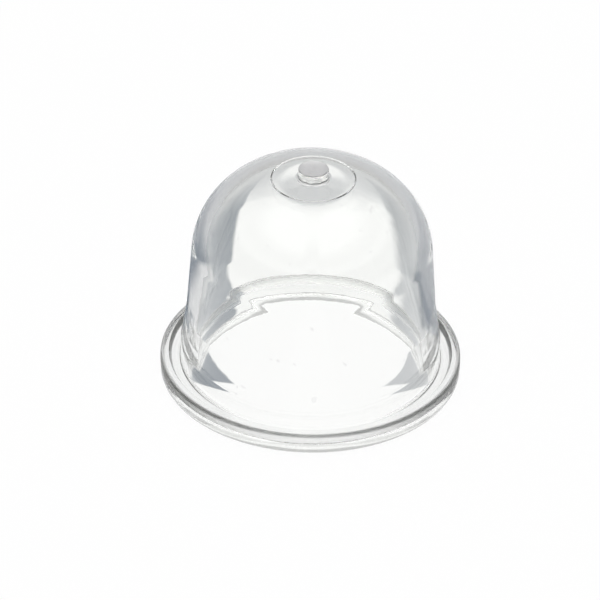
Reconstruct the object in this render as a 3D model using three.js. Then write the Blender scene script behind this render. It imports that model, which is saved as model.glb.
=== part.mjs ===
// Clear primer bulb: one moulded piece, a thin-walled dome on a round flange.
// Millimetres, +Z up, origin at the centre of the flange's underside.
import * as THREE from 'three';

// Flange, with a raised bead round its rim
const flangeRadius = 11.0;
const flangeThickness = 1.33;
const beadHeight = 0.37; // above the flange
const beadWidth = 0.62; // across the flat top and its outer round
const beadSlope = 0.22; // width of the sloping inner side
const beadRound = 0.28;
const flangeFootRound = 0.3;

// Collar, the thicker foot of the dome
const collarRadius = 9.5;
const collarHeight = 3.1;
const collarFillet = 0.6;
const collarTaperRound = 0.8;

// Dome outside
const wallFootHeight = 5.6; // where the collar's taper has run out
const wallStep = 0.4; // how far the wall stands in from the collar there
const wallDraft = THREE.MathUtils.degToRad(3.76);
const shoulderRadius = 6.64;
const domeHeight = 16.74; // where the shoulder's round levels off

// Disc at the top, set off by a fine groove, with the cut stub of the moulding gate
const discRadius = 3.1;
const discRise = 0.2; // from the disc's edge to the foot of the stub
const grooveWidth = 0.14;
const grooveDepth = 0.06;
const gateRadius = 1.1;
const gateHeight = 0.69; // above its own foot
const gateRound = 0.08;
const gateFillet = 0.2;

// Cavity
const wallThickness = 1.05;
const mouthRound = 0.15;

// Facets of the model
const turns = 72;
const shoulderSteps = 11;
const cornerStep = THREE.MathUtils.degToRad(32);

// Outside wall: radius at a height, leaning in by the draft
const wallFootRadius = collarRadius - wallStep;
const wallRadiusAt = (height) => wallFootRadius - (height - wallFootHeight) * Math.tan(wallDraft);

// Shoulder: one arc, tangent to the wall and to the level of the dome's top
const shoulderHeight = domeHeight - shoulderRadius;
const shoulderCentre = wallRadiusAt(shoulderHeight) - shoulderRadius / Math.cos(wallDraft);
const discEdgeAngle = Math.acos((discRadius - shoulderCentre) / shoulderRadius);
const discEdgeHeight = shoulderHeight + shoulderRadius * Math.sin(discEdgeAngle);
const gateFootHeight = discEdgeHeight + discRise;

// Cavity wall: the outside wall less the thickness, carried on down to the mouth with the same draft
const mouthRadius = wallRadiusAt(0) - wallThickness / Math.cos(wallDraft);
const cavityShoulderRadius = shoulderRadius - wallThickness;
const cavityTop = shoulderHeight + cavityShoulderRadius;

// Points of an arc round a centre, from one angle to another
function arcPoints(centreR, centreZ, radius, from, to, steps) {
  const points = [];
  for (let i = 0; i <= steps; i += 1) {
    const angle = from + ((to - from) * i) / steps;
    const r = centreR + radius * Math.cos(angle);
    const z = centreZ + radius * Math.sin(angle);
    points.push(new THREE.Vector2(r, z));
  }
  return points;
}

// Outline through corners [r, z, round]: a round becomes an arc tangent to both sides,
// no larger than the sides allow
function roundedCorners(corners) {
  const points = [];
  corners.forEach(([r, z, round = 0], i) => {
    const corner = new THREE.Vector2(r, z);
    if (round === 0 || i === 0 || i === corners.length - 1) {
      points.push(corner);
      return;
    }
    const before = new THREE.Vector2(corners[i - 1][0], corners[i - 1][1]).sub(corner);
    const after = new THREE.Vector2(corners[i + 1][0], corners[i + 1][1]).sub(corner);
    const half = before.angleTo(after) / 2;
    const room = Math.min(before.length(), after.length()) * 0.49;
    const cut = Math.min(round / Math.tan(half), room);
    const radius = cut * Math.tan(half);
    before.normalize();
    after.normalize();
    const middle = before.clone().add(after).normalize();
    const centre = corner.clone().addScaledVector(middle, radius / Math.sin(half));
    const start = corner.clone().addScaledVector(before, cut).sub(centre).angle();
    const end = corner.clone().addScaledVector(after, cut).sub(centre).angle();
    const full = 2 * Math.PI;
    const sweep = ((((end - start + Math.PI) % full) + full) % full) - Math.PI;
    const steps = Math.max(2, Math.ceil(Math.abs(sweep) / cornerStep));
    points.push(...arcPoints(centre.x, centre.y, radius, start, start + sweep, steps));
  });
  return points;
}

// Outside: gate stub, disc and groove, dome, collar, flange with its bead, and the underside
function outsideOutline() {
  const gateTop = gateFootHeight + gateHeight;
  const top = roundedCorners([
    [0, gateTop],
    [gateRadius, gateTop, gateRound],
    [gateRadius, gateFootHeight, gateFillet],
    [discRadius - grooveWidth, discEdgeHeight],
    [discRadius - grooveWidth / 2, discEdgeHeight - grooveDepth],
    [discRadius, discEdgeHeight],
  ]);
  const shoulder = arcPoints(
    shoulderCentre, shoulderHeight, shoulderRadius, discEdgeAngle, wallDraft, shoulderSteps,
  );
  const beadTop = flangeThickness + beadHeight;
  const beadInner = flangeRadius - beadWidth;
  const foot = roundedCorners([
    [wallRadiusAt(shoulderHeight), shoulderHeight],
    [wallFootRadius, wallFootHeight, collarTaperRound],
    [collarRadius, collarHeight, collarTaperRound],
    [collarRadius, flangeThickness, collarFillet],
    [beadInner - beadSlope, flangeThickness],
    [beadInner, beadTop],
    [flangeRadius, beadTop, beadRound],
    [flangeRadius, 0, flangeFootRound],
    [mouthRadius, 0],
  ]);
  return [...top, ...shoulder.slice(1), ...foot.slice(1, -1)];
}

// Inside: mouth, leaning cavity wall, shoulder and the flat under the disc
function insideOutline() {
  const foot = roundedCorners([
    [flangeRadius, 0],
    [mouthRadius, 0, mouthRound],
    [shoulderCentre + cavityShoulderRadius / Math.cos(wallDraft), shoulderHeight],
  ]);
  const shoulder = arcPoints(
    shoulderCentre, shoulderHeight, cavityShoulderRadius, wallDraft, Math.PI / 2, shoulderSteps,
  );
  return [...foot.slice(1, -1), ...shoulder, new THREE.Vector2(0, cavityTop)];
}

// The outline turned round the axis, stood up so that the axis is +Z
function bulbGeometry() {
  const outline = [...outsideOutline(), ...insideOutline()].reverse();
  const geometry = new THREE.LatheGeometry(outline, turns);
  geometry.rotateX(Math.PI / 2);
  return geometry;
}

const clearPlastic = new THREE.MeshStandardMaterial({
  color: 0xeef0ec,
  roughness: 0.08,
  metalness: 0,
  transparent: true,
  opacity: 0.45,
});

const primerBulb = new THREE.Mesh(bulbGeometry(), clearPlastic);
primerBulb.name = 'primer_bulb';

const part = new THREE.Group();
part.add(primerBulb);

export default part;
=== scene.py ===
# Clear primer bulb: a moulded dome on a round beaded flange, with the cut stub of its gate.
# Metres, +Z up, origin at the centre of the flange's underside.
import math

import bmesh
import bpy
from bpy.props import FloatProperty, FloatVectorProperty, IntProperty, PointerProperty
from mathutils import Matrix, Vector


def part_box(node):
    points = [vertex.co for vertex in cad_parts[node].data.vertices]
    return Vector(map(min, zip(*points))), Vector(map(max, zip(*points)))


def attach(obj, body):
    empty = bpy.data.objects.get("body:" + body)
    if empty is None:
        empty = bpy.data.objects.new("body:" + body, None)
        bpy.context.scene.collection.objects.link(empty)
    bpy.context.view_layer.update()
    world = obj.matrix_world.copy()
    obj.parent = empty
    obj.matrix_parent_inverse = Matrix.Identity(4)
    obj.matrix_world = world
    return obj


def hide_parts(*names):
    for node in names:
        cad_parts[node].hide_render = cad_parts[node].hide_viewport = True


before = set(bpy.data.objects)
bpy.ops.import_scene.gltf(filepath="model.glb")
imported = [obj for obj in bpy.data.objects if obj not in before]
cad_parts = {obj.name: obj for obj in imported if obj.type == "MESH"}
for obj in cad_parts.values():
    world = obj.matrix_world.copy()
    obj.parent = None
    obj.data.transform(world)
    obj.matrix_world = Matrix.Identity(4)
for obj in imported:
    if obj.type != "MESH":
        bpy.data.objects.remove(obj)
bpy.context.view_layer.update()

bl_info = {
    "name": "Primer bulb",
    "version": (1, 0, 0),
    "blender": (4, 5, 0),
    "location": "View3D > Sidebar > Primer bulb",
    "description": "Builds a clear moulded primer bulb and the studio that shows it",
    "category": "Add Mesh",
}

NODE = "primer_bulb"
BODY = "root"
CAD_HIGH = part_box(NODE)[1]
MM = 0.001

# Edges that turn by more than CREASE are crisp; points closer than MERGE become one
CREASE = math.radians(28.0)
MERGE = 1e-7
SEAM = 0.1 * MM  # between the ends of the two outlines, on the underside

# Surface of the plastic. Each wave, and the tear of the stub, has a size across and a height
TRANSMISSION = 0.98
WAVES = ((1.6 * MM, 0.004 * MM), (0.45 * MM, 0.0012 * MM))
TEAR = (0.25 * MM, 0.02 * MM)
SPECK_SIZE = 0.7 * MM
SPECK_LEVELS = (0.74, 0.78)
SPECK_STRENGTH = 0.35
CUT_STRENGTH = 0.9
STUB_ROUGHNESS = 0.08
CUT_ROUGHNESS = 0.4
RIM_ROUGHNESS = 0.45

# Where the stub, its cut face, the matt rim and the matt slope of the bead start and end
STUB_REACH = (1.35 * MM, 1.45 * MM)
STUB_HEIGHTS = (16.9 * MM, 17.0 * MM)
CUT_HEIGHTS = (17.46 * MM, 17.53 * MM)
RIM_REACH = (10.66 * MM, 10.76 * MM)
RIM_HEIGHTS = (1.02 * MM, 1.1 * MM)
SLOPE_INNER = (10.12 * MM, 10.15 * MM)
SLOPE_OUTER = (10.4 * MM, 10.43 * MM)
SLOPE_HEIGHTS = (1.34 * MM, 1.37 * MM)

# The floor is white to the camera. The glass shows it white under and behind the bulb, and greyer
# beside and beyond, in painted shade. The white strip's half width goes from the first to the
# second over WIDENS
CAMERA_GLOW = 0.94
WHITE_LEFT = (5.2 * MM, 7.9 * MM)
WHITE_RIGHT = (5.4 * MM, 8.2 * MM)
WIDENS = (7.5 * MM, 11.5 * MM)

# Where each painted shade of the floor starts and ends, and its brightness
BACK = (25 * MM, 34 * MM)
FRONT = (-5 * MM, -2 * MM)
FAR = (20 * MM, 60 * MM)
MOUTH = (8.5 * MM, 8.8 * MM)
MOUTH_TAILS = (8.2 * MM, 8.5 * MM)
LEFT_EDGE = (-0.7 * MM, 0.0)
LEFT_BEHIND = (4 * MM, 6 * MM)
PATCH_ACROSS = (-14 * MM, -11 * MM)
PATCH_ALONG = (9 * MM, 16 * MM)
RIGHT_EDGE = (0.0, 2 * MM)
RIGHT_WIDE = (10.5 * MM, 13 * MM)
RIGHT_BEHIND = (7 * MM, 10 * MM)
RIGHT_BESIDE = (3.5 * MM, 6 * MM)
BACK_SHADE_LEVEL = 0.6
FRONT_SHADE_LEVEL = 0.9
LEFT_SHADE_LEVELS = {"beside": 0.92, "behind": 0.26, "far": 0.62, "patch": 0.75}
RIGHT_SHADE_LEVELS = {"beside": 0.92, "close": 0.45, "wide": 0.3, "behind": 0.46, "far": 0.62}

# Two pointed shadows inside the mouth: side, tip (across, along), slope and curve of the upper
# edge, and brightness. Their edges are soft over the distances below
TAILS = (
    (-1, (5.3 * MM, -2.0 * MM), 1.2, 0.1 / MM, 0.3),
    (1, (4.5 * MM, -2.15 * MM), 0.2, 0.35 / MM, 0.55),
)
TAIL_LOWER_SLOPE = 0.28
TAIL_UPPER_EDGE = (0.0, 0.35 * MM)
TAIL_LOWER_EDGE = (-0.1 * MM, 0.1 * MM)
TAIL_TIP = (0.0, 0.2 * MM)

# Colour of the floor at a brightness: its darker painted shade is cool
PAINTED_SHADE_TINTS = (
    (0.0, (0, 0, 0)), (0.25, (0.22, 0.25, 0.29)), (0.6, (0.59, 0.60, 0.615)), (1.0, (1, 1, 1)),
)

# Brightness of the sky by elevation in degrees, read SKY_RAISE higher to both sides
SKY = ((0, 0.55), (34, 0.55), (37, 1.0), (44, 1.0), (50, 0.8), (60, 0.9), (70, 1.2), (90, 1.5))
SKY_SIDES = (0.05, 0.15)
SKY_RAISE = 0.13

# Light paths through the many walls of the clear shell
BOUNCES = 40
GLOSSY_BOUNCES = 12

# The photograph: its width and the bulb's base centre in pixels, and its scale there
PHOTO_WIDTH = 600
PIXELS_PER_METRE = 13600.0
BASE_CENTRE = (310.14, 369.38)
SENSOR = 36.0


def length(name, description, default):
    """A length in metres that a user can set."""
    return FloatProperty(
        name=name, description=description, default=default, min=0.0, precision=5, unit="LENGTH"
    )


class BulbSizes(bpy.types.PropertyGroup):
    """Sizes of the moulding"""

    flange_radius: length("Flange radius", "Outer radius of the flange", CAD_HIGH.x)
    flange_thickness: length("Flange thickness", "Flange inside its bead", 1.33 * MM)
    flange_foot_round: length("Foot round", "Round of the flange's bottom edge", 0.5 * MM)
    bead_height: length("Bead height", "Raised rim above the flange", 0.37 * MM)
    bead_width: length("Bead width", "Flat top of the rim with its outer round", 0.62 * MM)
    bead_slope: length("Bead slope", "Width of the rim's sloping inner side", 0.22 * MM)
    bead_round: length("Bead round", "Round of the rim's outer edge", 0.28 * MM)
    bead_inner_round: length("Bead inner round", "Of the sloping side", 0.06 * MM)
    collar_radius: length("Collar radius", "Thicker foot of the dome", 9.5 * MM)
    collar_height: length("Collar height", "Where the collar starts to taper", 3.1 * MM)
    collar_fillet: length("Collar fillet", "Between the collar and the flange", 0.6 * MM)
    taper_round: length("Taper round", "At both ends of the collar's taper", 0.8 * MM)
    wall_foot_height: length("Wall foot", "Where the taper has run out", 5.6 * MM)
    wall_step: length("Wall step", "How far the wall stands in from the collar", 0.4 * MM)
    wall_draft: FloatProperty(
        name="Wall draft",
        description="How far the wall leans in",
        default=math.radians(3.76),
        subtype="ANGLE",
    )
    shoulder_radius: length("Shoulder radius", "Round of the dome's shoulder", 6.64 * MM)
    dome_height: length("Dome height", "Where the shoulder's round levels off", 16.74 * MM)
    disc_radius: length("Disc radius", "Round disc on top", 3.1 * MM)
    disc_rise: length("Disc rise", "From the disc's edge to the foot of the stub", 0.2 * MM)
    groove_width: length("Groove width", "Fine groove round the disc", 0.14 * MM)
    groove_depth: length("Groove depth", "Fine groove round the disc", 0.06 * MM)
    gate_radius: length("Gate radius", "Cut stub of the gate", 1.1 * MM)
    gate_top: length("Gate top", "Height of the stub's cut face", CAD_HIGH.z)
    gate_round: length("Gate round", "Round of the cut face's edge", 0.08 * MM)
    gate_fillet: length("Gate fillet", "At the foot of the stub", 0.3 * MM)
    wall_thickness: length("Wall thickness", "Of the dome", 1.05 * MM)
    mouth_round: length("Mouth round", "Round of the mouth's edge", 0.15 * MM)
    turn_steps: IntProperty(name="Turn steps", description="Steps round the axis", default=240)
    arc_steps: IntProperty(name="Arc steps", description="Steps of a shoulder", default=48)
    corner_steps: IntProperty(name="Corner steps", description="Steps of a round", default=6)


class PlasticLook(bpy.types.PropertyGroup):
    """Finish of the clear plastic"""

    colour: FloatVectorProperty(
        name="Colour", description="Tint of the clear plastic", default=(0.99, 0.995, 0.985),
        subtype="COLOR", min=0.0, max=1.0,
    )
    cut_colour: FloatVectorProperty(
        name="Cut colour", description="Greyer tint of the matt cut face and of specks",
        default=(0.62, 0.6, 0.62), subtype="COLOR", min=0.0, max=1.0,
    )
    ior: FloatProperty(name="IOR", description="Refraction of the plastic", default=1.5)
    depth_colour: FloatVectorProperty(
        name="Depth colour", description="What a long path through the plastic turns to",
        default=(0.62, 0.64, 0.60), subtype="COLOR", min=0.0, max=1.0,
    )
    depth_density: FloatProperty(
        name="Depth density", description="How soon it turns, per metre", default=12.0
    )


class StudioLook(bpy.types.PropertyGroup):
    """Floor, light and camera"""

    floor_colour: FloatVectorProperty(
        name="Floor colour", description="Plain pale floor", default=(0.9, 0.9, 0.9),
        subtype="COLOR", min=0.0, max=1.0,
    )
    floor_radius: length("Floor radius", "Of the round floor", 2.0)
    floor_gap: length("Floor gap", "Air under the flange", 0.02 * MM)
    camera_elevation: FloatProperty(
        name="Camera elevation", description="Above the floor", default=math.radians(34.4),
        subtype="ANGLE",
    )
    camera_distance: length("Camera distance", "From the origin", 0.5)
    camera_roll: FloatProperty(
        name="Camera roll", description="Turn about the line of sight",
        default=math.radians(0.95), subtype="ANGLE",
    )


def new_object(name, bm):
    """A mesh object at the origin, made from a bmesh, with smooth shading and crisp corners."""
    for face in bm.faces:
        face.smooth = True
    for edge in bm.edges:
        if len(edge.link_faces) == 2:
            edge.smooth = edge.calc_face_angle() < CREASE
    mesh = bpy.data.meshes.new(name)
    bm.to_mesh(mesh)
    bm.free()
    piece = bpy.data.objects.new(name, mesh)
    bpy.context.scene.collection.objects.link(piece)
    return piece


class BULB_OT_moulding(bpy.types.Operator):
    """Build the clear bulb: flange, collar, dome, disc and gate stub in one turned shell"""

    bl_idname = "bulb.moulding"
    bl_label = "Moulding"

    def execute(self, context):
        sizes = context.scene.bulb_sizes
        bm = bmesh.new()
        outside = outside_outline(bm, sizes)
        inside = inside_outline(bm, sizes)
        bm.edges.new((outside[-1], inside[0]))
        bmesh.ops.spin(
            bm, geom=bm.verts[:] + bm.edges[:], cent=(0, 0, 0), axis=(0, 0, 1),
            angle=2 * math.pi, steps=sizes.turn_steps, use_merge=True,
        )
        bmesh.ops.remove_doubles(bm, verts=bm.verts, dist=MERGE)
        bmesh.ops.recalc_face_normals(bm, faces=bm.faces)
        piece = new_object("clear_bulb", bm)
        piece.data.materials.append(clear_plastic(context.scene.plastic_look))
        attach(piece, BODY)
        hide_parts(NODE)
        return {"FINISHED"}


def add_chain(bm, corners, steps):
    """Edges in a row in the XZ plane, each corner (radius, height, round) rounded in steps."""
    verts = [bm.verts.new((corner[0], 0.0, corner[1])) for corner in corners]
    for start, end in zip(verts, verts[1:]):
        bm.edges.new((start, end))
    first, last = verts[0], verts[-1]
    for vert, corner in zip(verts[1:-1], corners[1:-1]):
        if len(corner) > 2:
            round_corner(bm, vert, corner[2], steps)
    return first, last


def round_corner(bm, vert, radius, steps):
    """Turn a corner of a chain into an arc, tangent to both sides."""
    sides = [edge.other_vert(vert).co - vert.co for edge in vert.link_edges]
    reach = radius / math.tan(sides[0].angle(sides[1]) / 2)
    reach = min(reach, 0.49 * sides[0].length, 0.49 * sides[1].length)
    bmesh.ops.bevel(
        bm, geom=[vert], offset=reach, offset_type="OFFSET", segments=steps, profile=0.5,
        affect="VERTICES", clamp_overlap=True, material=-1,
    )


def shoulder(sizes):
    """Height and radius of the centre of the shoulder's round, tangent to the leaning wall."""
    height = sizes.dome_height - sizes.shoulder_radius
    wall = wall_radius(sizes, height)
    return wall - sizes.shoulder_radius / math.cos(sizes.wall_draft), height


def wall_radius(sizes, height):
    """Outside radius of the leaning wall at a height."""
    foot = sizes.collar_radius - sizes.wall_step
    return foot - (height - sizes.wall_foot_height) * math.tan(sizes.wall_draft)


def sweep_arc(bm, vert, centre, angle, steps):
    """An arc of edges that starts at a vertex and turns upwards round a centre."""
    turned = bmesh.ops.spin(
        bm, geom=[vert], cent=(centre[0], 0, centre[1]), axis=(0, 1, 0),
        angle=-angle, steps=steps,
    )
    return [item for item in turned["geom_last"] if isinstance(item, bmesh.types.BMVert)][0]


def outside_outline(bm, sizes):
    """Outside from the cut face of the stub down to the underside of the flange."""
    centre = shoulder(sizes)
    edge_angle = math.acos((sizes.disc_radius - centre[0]) / sizes.shoulder_radius)
    edge_height = centre[1] + sizes.shoulder_radius * math.sin(edge_angle)
    foot_height = edge_height + sizes.disc_rise
    disc_edge = sizes.disc_radius - sizes.groove_width
    top = add_chain(bm, [
        (0, sizes.gate_top),
        (sizes.gate_radius, sizes.gate_top, sizes.gate_round),
        (sizes.gate_radius, foot_height, sizes.gate_fillet),
        (disc_edge, edge_height),
        (disc_edge + sizes.groove_width / 2, edge_height - sizes.groove_depth),
    ], sizes.corner_steps)
    bead_top = sizes.flange_thickness + sizes.bead_height
    bead_inner = sizes.flange_radius - sizes.bead_width
    wall_top = centre[1] + sizes.shoulder_radius * math.sin(sizes.wall_draft)
    foot = add_chain(bm, [
        (wall_radius(sizes, wall_top), wall_top),
        (sizes.collar_radius - sizes.wall_step, sizes.wall_foot_height, sizes.taper_round),
        (sizes.collar_radius, sizes.collar_height, sizes.taper_round),
        (sizes.collar_radius, sizes.flange_thickness, sizes.collar_fillet),
        (bead_inner - sizes.bead_slope, sizes.flange_thickness, sizes.bead_inner_round),
        (bead_inner, bead_top, sizes.bead_inner_round),
        (sizes.flange_radius, bead_top, sizes.bead_round),
        (sizes.flange_radius, 0, sizes.flange_foot_round),
        (sizes.collar_radius, 0),
    ], sizes.corner_steps)
    arc_end = sweep_arc(bm, foot[0], centre, edge_angle - sizes.wall_draft, sizes.arc_steps)
    bm.edges.new((arc_end, top[1]))
    return top[0], foot[1]


def inside_outline(bm, sizes):
    """Inside from the mouth's edge up the leaning wall to the flat under the disc."""
    centre = shoulder(sizes)
    inner_radius = sizes.shoulder_radius - sizes.wall_thickness
    mouth = wall_radius(sizes, 0) - sizes.wall_thickness / math.cos(sizes.wall_draft)
    spring = (
        centre[0] + inner_radius * math.cos(sizes.wall_draft),
        centre[1] + inner_radius * math.sin(sizes.wall_draft),
    )
    chain = add_chain(bm, [
        (sizes.collar_radius - SEAM, 0),
        (mouth, 0, sizes.mouth_round),
        spring,
    ], sizes.corner_steps)
    quarter = math.pi / 2 - sizes.wall_draft
    arc_end = sweep_arc(bm, chain[1], centre, quarter, sizes.arc_steps)
    pole = bm.verts.new((0, 0, centre[1] + inner_radius))
    bm.edges.new((arc_end, pole))
    return chain[0], pole


def clear_plastic(look):
    """The clear moulded plastic, slightly grey through long paths."""
    material = bpy.data.materials.new("clear_plastic")
    material.use_nodes = True
    tree = material.node_tree
    shader = tree.nodes["Principled BSDF"]
    shader.inputs["Base Color"].default_value = (*look.colour, 1)
    shader.inputs["Transmission Weight"].default_value = TRANSMISSION
    shader.inputs["Roughness"].default_value = 0.0
    shader.inputs["IOR"].default_value = look.ior
    add_finish(tree, shader, look)
    depth = tree.nodes.new("ShaderNodeVolumeAbsorption")
    depth.inputs["Color"].default_value = (*look.depth_colour, 1)
    depth.inputs["Density"].default_value = look.depth_density
    tree.links.new(depth.outputs["Volume"], tree.nodes["Material Output"].inputs["Volume"])
    return material


def add_finish(tree, shader, look):
    """Slight waves and specks all over, a matt, torn stub where the gate was cut, a matt rim."""
    place, across, along, height = place_nodes(tree, "Object")
    flat = tree.nodes.new("ShaderNodeCombineXYZ")
    tree.links.new(across, flat.inputs["X"])
    tree.links.new(along, flat.inputs["Y"])
    radius = length_of(tree, flat.outputs[0])
    near = ramp_node(tree, radius, *STUB_REACH, 1, 0)
    stub = math_node(tree, "MULTIPLY", ramp_node(tree, height, *STUB_HEIGHTS, 0, 1), near)
    cut = ramp_node(tree, height, *CUT_HEIGHTS, 0, 1)
    add_bump(tree, shader, place, stub)
    rough = math_node(
        tree, "ADD",
        math_node(tree, "MULTIPLY", stub, STUB_ROUGHNESS),
        math_node(tree, "MULTIPLY", cut, CUT_ROUGHNESS),
        matt_rim(tree, radius, height),
    )
    tree.links.new(rough, shader.inputs["Roughness"])
    speck = ramp_node(tree, noise_node(tree, place, SPECK_SIZE), *SPECK_LEVELS, 0, SPECK_STRENGTH)
    marks = math_node(tree, "MAXIMUM", speck, math_node(tree, "MULTIPLY", cut, CUT_STRENGTH))
    colour = tree.nodes.new("ShaderNodeMix")
    colour.data_type = "RGBA"
    colour.inputs[6].default_value = (*look.colour, 1)
    colour.inputs[7].default_value = (*look.cut_colour, 1)
    tree.links.new(marks, colour.inputs[0])
    tree.links.new(colour.outputs[2], shader.inputs["Base Color"])


def add_bump(tree, shader, place, stub):
    """The waves of the moulded surface, and the tear of the stub."""
    parts = [
        math_node(tree, "MULTIPLY", noise_node(tree, place, size), rise) for size, rise in WAVES
    ]
    size, rise = TEAR
    parts.append(math_node(tree, "MULTIPLY", noise_node(tree, place, size), rise, stub))
    bump = tree.nodes.new("ShaderNodeBump")
    bump.inputs["Strength"].default_value = 1.0
    bump.inputs["Distance"].default_value = 1.0
    tree.links.new(math_node(tree, "ADD", *parts), bump.inputs["Height"])
    tree.links.new(bump.outputs["Normal"], shader.inputs["Normal"])


def matt_rim(tree, radius, height):
    """Roughness of the upper rim of the flange and of the bead's sloping side."""
    rim = math_node(
        tree, "MULTIPLY",
        ramp_node(tree, radius, *RIM_REACH, 0, RIM_ROUGHNESS),
        ramp_node(tree, height, *RIM_HEIGHTS, 0, 1),
    )
    slope = math_node(
        tree, "MULTIPLY",
        ramp_node(tree, radius, *SLOPE_INNER, 0, 1),
        ramp_node(tree, radius, *SLOPE_OUTER, RIM_ROUGHNESS, 0),
        ramp_node(tree, height, *SLOPE_HEIGHTS, 0, 1),
    )
    return math_node(tree, "MAXIMUM", rim, slope)


class BULB_OT_stage(bpy.types.Operator):
    """Set up the pale floor, the soft light and the camera"""

    bl_idname = "bulb.stage"
    bl_label = "Stage"

    def execute(self, context):
        look = context.scene.studio_look
        add_floor(look)
        add_world(context.scene)
        add_camera(context.scene, look)
        context.scene.view_settings.view_transform = "Standard"
        context.scene.cycles.max_bounces = BOUNCES
        context.scene.cycles.transmission_bounces = BOUNCES
        context.scene.cycles.glossy_bounces = GLOSSY_BOUNCES
        context.scene.cycles.blur_glossy = 0.0
        return {"FINISHED"}


def add_floor(look):
    """The round floor, just below the flange."""
    bm = bmesh.new()
    bmesh.ops.create_circle(bm, cap_ends=True, segments=96, radius=look.floor_radius)
    bmesh.ops.translate(bm, verts=bm.verts, vec=(0, 0, -look.floor_gap))
    floor = new_object("floor", bm)
    floor.data.materials.append(pale_floor(look))


def pale_floor(look):
    """White to the camera, painted shade by place to the glass, paint that takes light elsewhere.
    """
    material = bpy.data.materials.new("pale_floor")
    material.use_nodes = True
    tree = material.node_tree
    tree.nodes.clear()
    output = tree.nodes.new("ShaderNodeOutputMaterial")
    diffuse = tree.nodes.new("ShaderNodeBsdfDiffuse")
    glow = tree.nodes.new("ShaderNodeEmission")
    path = tree.nodes.new("ShaderNodeLightPath").outputs
    mix = tree.nodes.new("ShaderNodeMixShader")
    seen = math_node(tree, "MAXIMUM", floor_painted_shade(tree), path["Is Camera Ray"])
    tint = tree.nodes.new("ShaderNodeValToRGB")
    set_stops(tint, PAINTED_SHADE_TINTS)
    tree.links.new(seen, tint.inputs[0])
    paint = tree.nodes.new("ShaderNodeVectorMath")
    paint.operation = "MULTIPLY"
    paint.inputs[1].default_value = look.floor_colour
    tree.links.new(tint.outputs["Color"], paint.inputs[0])
    tree.links.new(paint.outputs["Vector"], diffuse.inputs["Color"])
    tree.links.new(tint.outputs["Color"], glow.inputs["Color"])
    camera_part = math_node(tree, "MULTIPLY", path["Is Camera Ray"], CAMERA_GLOW)
    part = math_node(
        tree, "MAXIMUM", camera_part, path["Is Transmission Ray"], path["Is Glossy Ray"]
    )
    tree.links.new(part, mix.inputs["Fac"])
    tree.links.new(diffuse.outputs[0], mix.inputs[1])
    tree.links.new(glow.outputs[0], mix.inputs[2])
    tree.links.new(mix.outputs[0], output.inputs["Surface"])
    return material


def floor_painted_shade(tree):
    """Painted shade of the floor: 1 under and behind the bulb, less beside and beyond it."""
    place, across, along, _ = place_nodes(tree, "Object")
    radius = length_of(tree, place)
    away = math_node(
        tree, "MINIMUM",
        left_painted_shade(tree, across, along, radius),
        right_painted_shade(tree, across, along, radius),
        ramp_node(tree, along, *BACK, 1, BACK_SHADE_LEVEL),
    )
    away = math_node(tree, "MAXIMUM", away, ramp_node(tree, along, *FRONT, FRONT_SHADE_LEVEL, 0))
    mouth = ramp_node(tree, radius, *MOUTH, 1, 0)
    for side, tip, slope, curve, level in TAILS:
        tail = tail_node(tree, across, along, side, tip, slope, curve, level)
        mouth = math_node(tree, "MULTIPLY", mouth, tail)
        away = math_node(tree, "MINIMUM", away, ramp_node(tree, radius, *MOUTH_TAILS, tail, 1))
    return math_node(tree, "MAXIMUM", mouth, away)


def left_painted_shade(tree, across, along, radius):
    """Painted shade left of the white strip: dark behind the flange, lighter beside the bulb."""
    edge = ramp_node(tree, along, *WIDENS, *WHITE_LEFT)
    past = math_node(tree, "ADD", across, edge)
    outside = ramp_node(tree, past, *LEFT_EDGE, 1, 0)
    near = ramp_node(tree, along, *LEFT_BEHIND, LEFT_SHADE_LEVELS["beside"], LEFT_SHADE_LEVELS["behind"])
    far = ramp_node(tree, radius, *FAR, LEFT_SHADE_LEVELS["behind"], LEFT_SHADE_LEVELS["far"])
    patch = math_node(
        tree, "MULTIPLY",
        ramp_node(tree, across, *PATCH_ACROSS, LEFT_SHADE_LEVELS["patch"], 0),
        ramp_node(tree, along, *PATCH_ALONG, 1, 0),
    )
    return blend_node(tree, outside, 1.0, math_node(tree, "MAXIMUM", near, far, patch))


def right_painted_shade(tree, across, along, radius):
    """Painted shade right of the white strip: grey, darkest well to the side."""
    edge = ramp_node(tree, along, *WIDENS, *WHITE_RIGHT)
    past = math_node(tree, "SUBTRACT", across, edge)
    outside = ramp_node(tree, past, *RIGHT_EDGE, 0, 1)
    side = ramp_node(tree, across, *RIGHT_WIDE, RIGHT_SHADE_LEVELS["close"], RIGHT_SHADE_LEVELS["wide"])
    behind = ramp_node(tree, along, *RIGHT_BEHIND, 0, RIGHT_SHADE_LEVELS["behind"])
    beside = ramp_node(tree, along, *RIGHT_BESIDE, RIGHT_SHADE_LEVELS["beside"], 0)
    far = ramp_node(tree, radius, *FAR, 0, RIGHT_SHADE_LEVELS["far"])
    return blend_node(tree, outside, 1.0, math_node(tree, "MAXIMUM", side, behind, beside, far))


def tail_node(tree, across, along, side, tip, slope, curve, level):
    """A pointed shadow that widens outwards: its level inside, 1 outside."""
    out = math_node(tree, "SUBTRACT", math_node(tree, "MULTIPLY", across, side), tip[0])
    out = math_node(tree, "MAXIMUM", out, 0.0)
    steepness = math_node(tree, "ADD", math_node(tree, "MULTIPLY", out, curve), slope)
    upper = math_node(tree, "ADD", math_node(tree, "MULTIPLY", out, steepness), tip[1])
    lower = math_node(tree, "ADD", math_node(tree, "MULTIPLY", out, TAIL_LOWER_SLOPE), tip[1])
    under = math_node(tree, "SUBTRACT", upper, along)
    over = math_node(tree, "SUBTRACT", along, lower)
    inside = math_node(
        tree, "MULTIPLY",
        ramp_node(tree, under, *TAIL_UPPER_EDGE, 0, 1),
        ramp_node(tree, over, *TAIL_LOWER_EDGE, 0, 1),
        ramp_node(tree, out, *TAIL_TIP, 0, 1),
    )
    return blend_node(tree, inside, 1.0, level)


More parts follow.
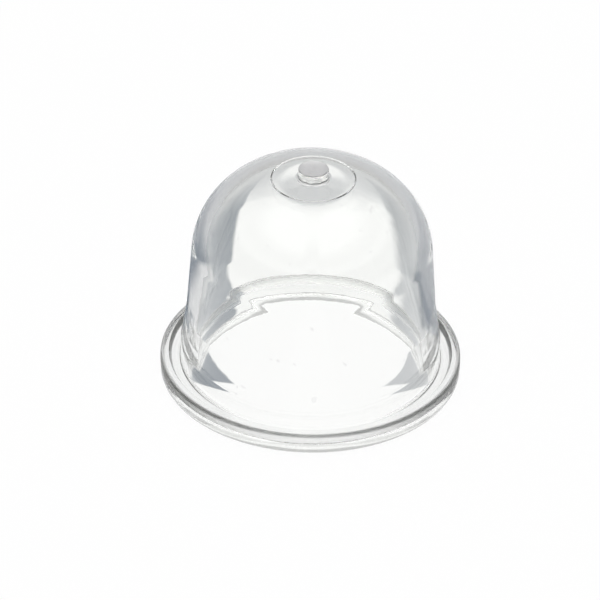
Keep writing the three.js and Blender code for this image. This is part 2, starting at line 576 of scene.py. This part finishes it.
def add_world(scene):
    """Soft sky, bright overhead and darker near the floor, and white to the camera."""
    world = bpy.data.worlds.new("studio")
    scene.world = world
    world.use_nodes = True
    tree = world.node_tree
    tree.nodes.clear()
    output = tree.nodes.new("ShaderNodeOutputWorld")
    sky = tree.nodes.new("ShaderNodeBackground")
    ramp = tree.nodes.new("ShaderNodeValToRGB")
    set_stops(ramp, [(math.sin(math.radians(up)), (level, level, level)) for up, level in SKY])
    path = tree.nodes.new("ShaderNodeLightPath")
    mix = tree.nodes.new("ShaderNodeMix")
    mix.data_type = "RGBA"
    _, across, _, height = place_nodes(tree, "Generated")
    sides = math_node(tree, "ABSOLUTE", across, 0.0)
    beside = ramp_node(tree, sides, *SKY_SIDES, 0, SKY_RAISE)
    tree.links.new(math_node(tree, "ADD", height, beside), ramp.inputs[0])
    tree.links.new(path.outputs["Is Camera Ray"], mix.inputs["Factor"])
    tree.links.new(ramp.outputs["Color"], mix.inputs[6])
    mix.inputs[7].default_value = (1, 1, 1, 1)
    tree.links.new(mix.outputs[2], sky.inputs["Color"])
    tree.links.new(sky.outputs[0], output.inputs["Surface"])


def place_nodes(tree, kind):
    """A texture coordinate, and its X, Y and Z."""
    place = tree.nodes.new("ShaderNodeTexCoord").outputs[kind]
    axes = tree.nodes.new("ShaderNodeSeparateXYZ")
    tree.links.new(place, axes.inputs[0])
    return place, axes.outputs["X"], axes.outputs["Y"], axes.outputs["Z"]


def length_of(tree, vector):
    """Length of a vector."""
    node = tree.nodes.new("ShaderNodeVectorMath")
    node.operation = "LENGTH"
    tree.links.new(vector, node.inputs[0])
    return node.outputs["Value"]


def noise_node(tree, place, size):
    """Noise over the piece, with waves of a size across."""
    node = tree.nodes.new("ShaderNodeTexNoise")
    node.inputs["Scale"].default_value = 1 / size
    node.inputs["Detail"].default_value = 1.0
    tree.links.new(place, node.inputs["Vector"])
    return node.outputs["Fac"]


def set_stops(ramp, stops):
    """Give a colour ramp its stops."""
    elements = ramp.color_ramp.elements
    while len(elements) < len(stops):
        elements.new(0.5)
    for element, (position, colour) in zip(elements, stops):
        element.position = position
        element.color = (*colour, 1)


def feed(tree, socket, value):
    """Link an input to a socket, or give it a number."""
    if isinstance(value, bpy.types.NodeSocket):
        tree.links.new(value, socket)
    else:
        socket.default_value = value


def blend_node(tree, part, first, second):
    """A value between the first and the second, by part."""
    node = tree.nodes.new("ShaderNodeMix")
    feed(tree, node.inputs[0], part)
    feed(tree, node.inputs[2], first)
    feed(tree, node.inputs[3], second)
    return node.outputs[0]


def math_node(tree, operation, first, *others):
    """Math nodes in a row, one for each value after the first; each is a socket or a number."""
    result = first
    for other in others:
        node = tree.nodes.new("ShaderNodeMath")
        node.operation = operation
        feed(tree, node.inputs[0], result)
        feed(tree, node.inputs[1], other)
        result = node.outputs[0]
    return result


def ramp_node(tree, value, start, end, low, high):
    """A smooth change from low to high as the value goes from start to end."""
    node = tree.nodes.new("ShaderNodeMapRange")
    node.interpolation_type = "SMOOTHSTEP"
    tree.links.new(value, node.inputs["Value"])
    for name, amount in (("From Min", start), ("From Max", end), ("To Min", low), ("To Max", high)):
        feed(tree, node.inputs[name], amount)
    return node.outputs[0]


def add_camera(scene, look):
    """Camera at the photograph's angle, its base centre at the same place in the frame."""
    focal = PIXELS_PER_METRE * look.camera_distance
    data = bpy.data.cameras.new("camera")
    data.sensor_width = SENSOR
    data.lens = focal / PHOTO_WIDTH * SENSOR
    data.clip_end = 50
    camera = bpy.data.objects.new("camera", data)
    scene.collection.objects.link(camera)
    rise = look.camera_elevation
    back = Vector((0, -math.cos(rise), math.sin(rise)))
    camera.location = back * look.camera_distance
    right = Vector((1, 0, 0))
    up = Vector((0, math.sin(rise), math.cos(rise)))
    across = BASE_CENTRE[0] - PHOTO_WIDTH / 2
    down = BASE_CENTRE[1] - PHOTO_WIDTH / 2
    roll = look.camera_roll
    turned_across = across * math.cos(roll) + down * math.sin(roll)
    turned_down = down * math.cos(roll) - across * math.sin(roll)
    forward = -back * focal - right * turned_across + up * turned_down
    camera.rotation_mode = "QUATERNION"
    aim = forward.to_track_quat("-Z", "Y")
    camera.rotation_quaternion = aim @ Matrix.Rotation(roll, 4, "Z").to_quaternion()
    scene.camera = camera


class BULB_PT_panel(bpy.types.Panel):
    """Sizes and pieces of the primer bulb"""

    bl_idname = "BULB_PT_panel"
    bl_label = "Primer bulb"
    bl_space_type = "VIEW_3D"
    bl_region_type = "UI"
    bl_category = "Primer bulb"

    def draw(self, context):
        layout = self.layout
        scene = context.scene
        for group in (scene.bulb_sizes, scene.plastic_look, scene.studio_look):
            column = layout.column()
            for name in group.__annotations__:
                column.prop(group, name)
        layout.operator(BULB_OT_moulding.bl_idname)
        layout.operator(BULB_OT_stage.bl_idname)


CLASSES = (BulbSizes, PlasticLook, StudioLook, BULB_OT_moulding, BULB_OT_stage, BULB_PT_panel)


def register():
    """Register the classes and hang the settings on the scene."""
    for item in CLASSES:
        bpy.utils.register_class(item)
    bpy.types.Scene.bulb_sizes = PointerProperty(type=BulbSizes)
    bpy.types.Scene.plastic_look = PointerProperty(type=PlasticLook)
    bpy.types.Scene.studio_look = PointerProperty(type=StudioLook)


def unregister():
    """Take the settings and the classes away again."""
    del bpy.types.Scene.studio_look
    del bpy.types.Scene.plastic_look
    del bpy.types.Scene.bulb_sizes
    for item in reversed(CLASSES):
        bpy.utils.unregister_class(item)


def main():
    """Register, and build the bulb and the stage."""
    register()
    bpy.ops.bulb.moulding()
    bpy.ops.bulb.stage()


if __name__ == "__main__":
    main()
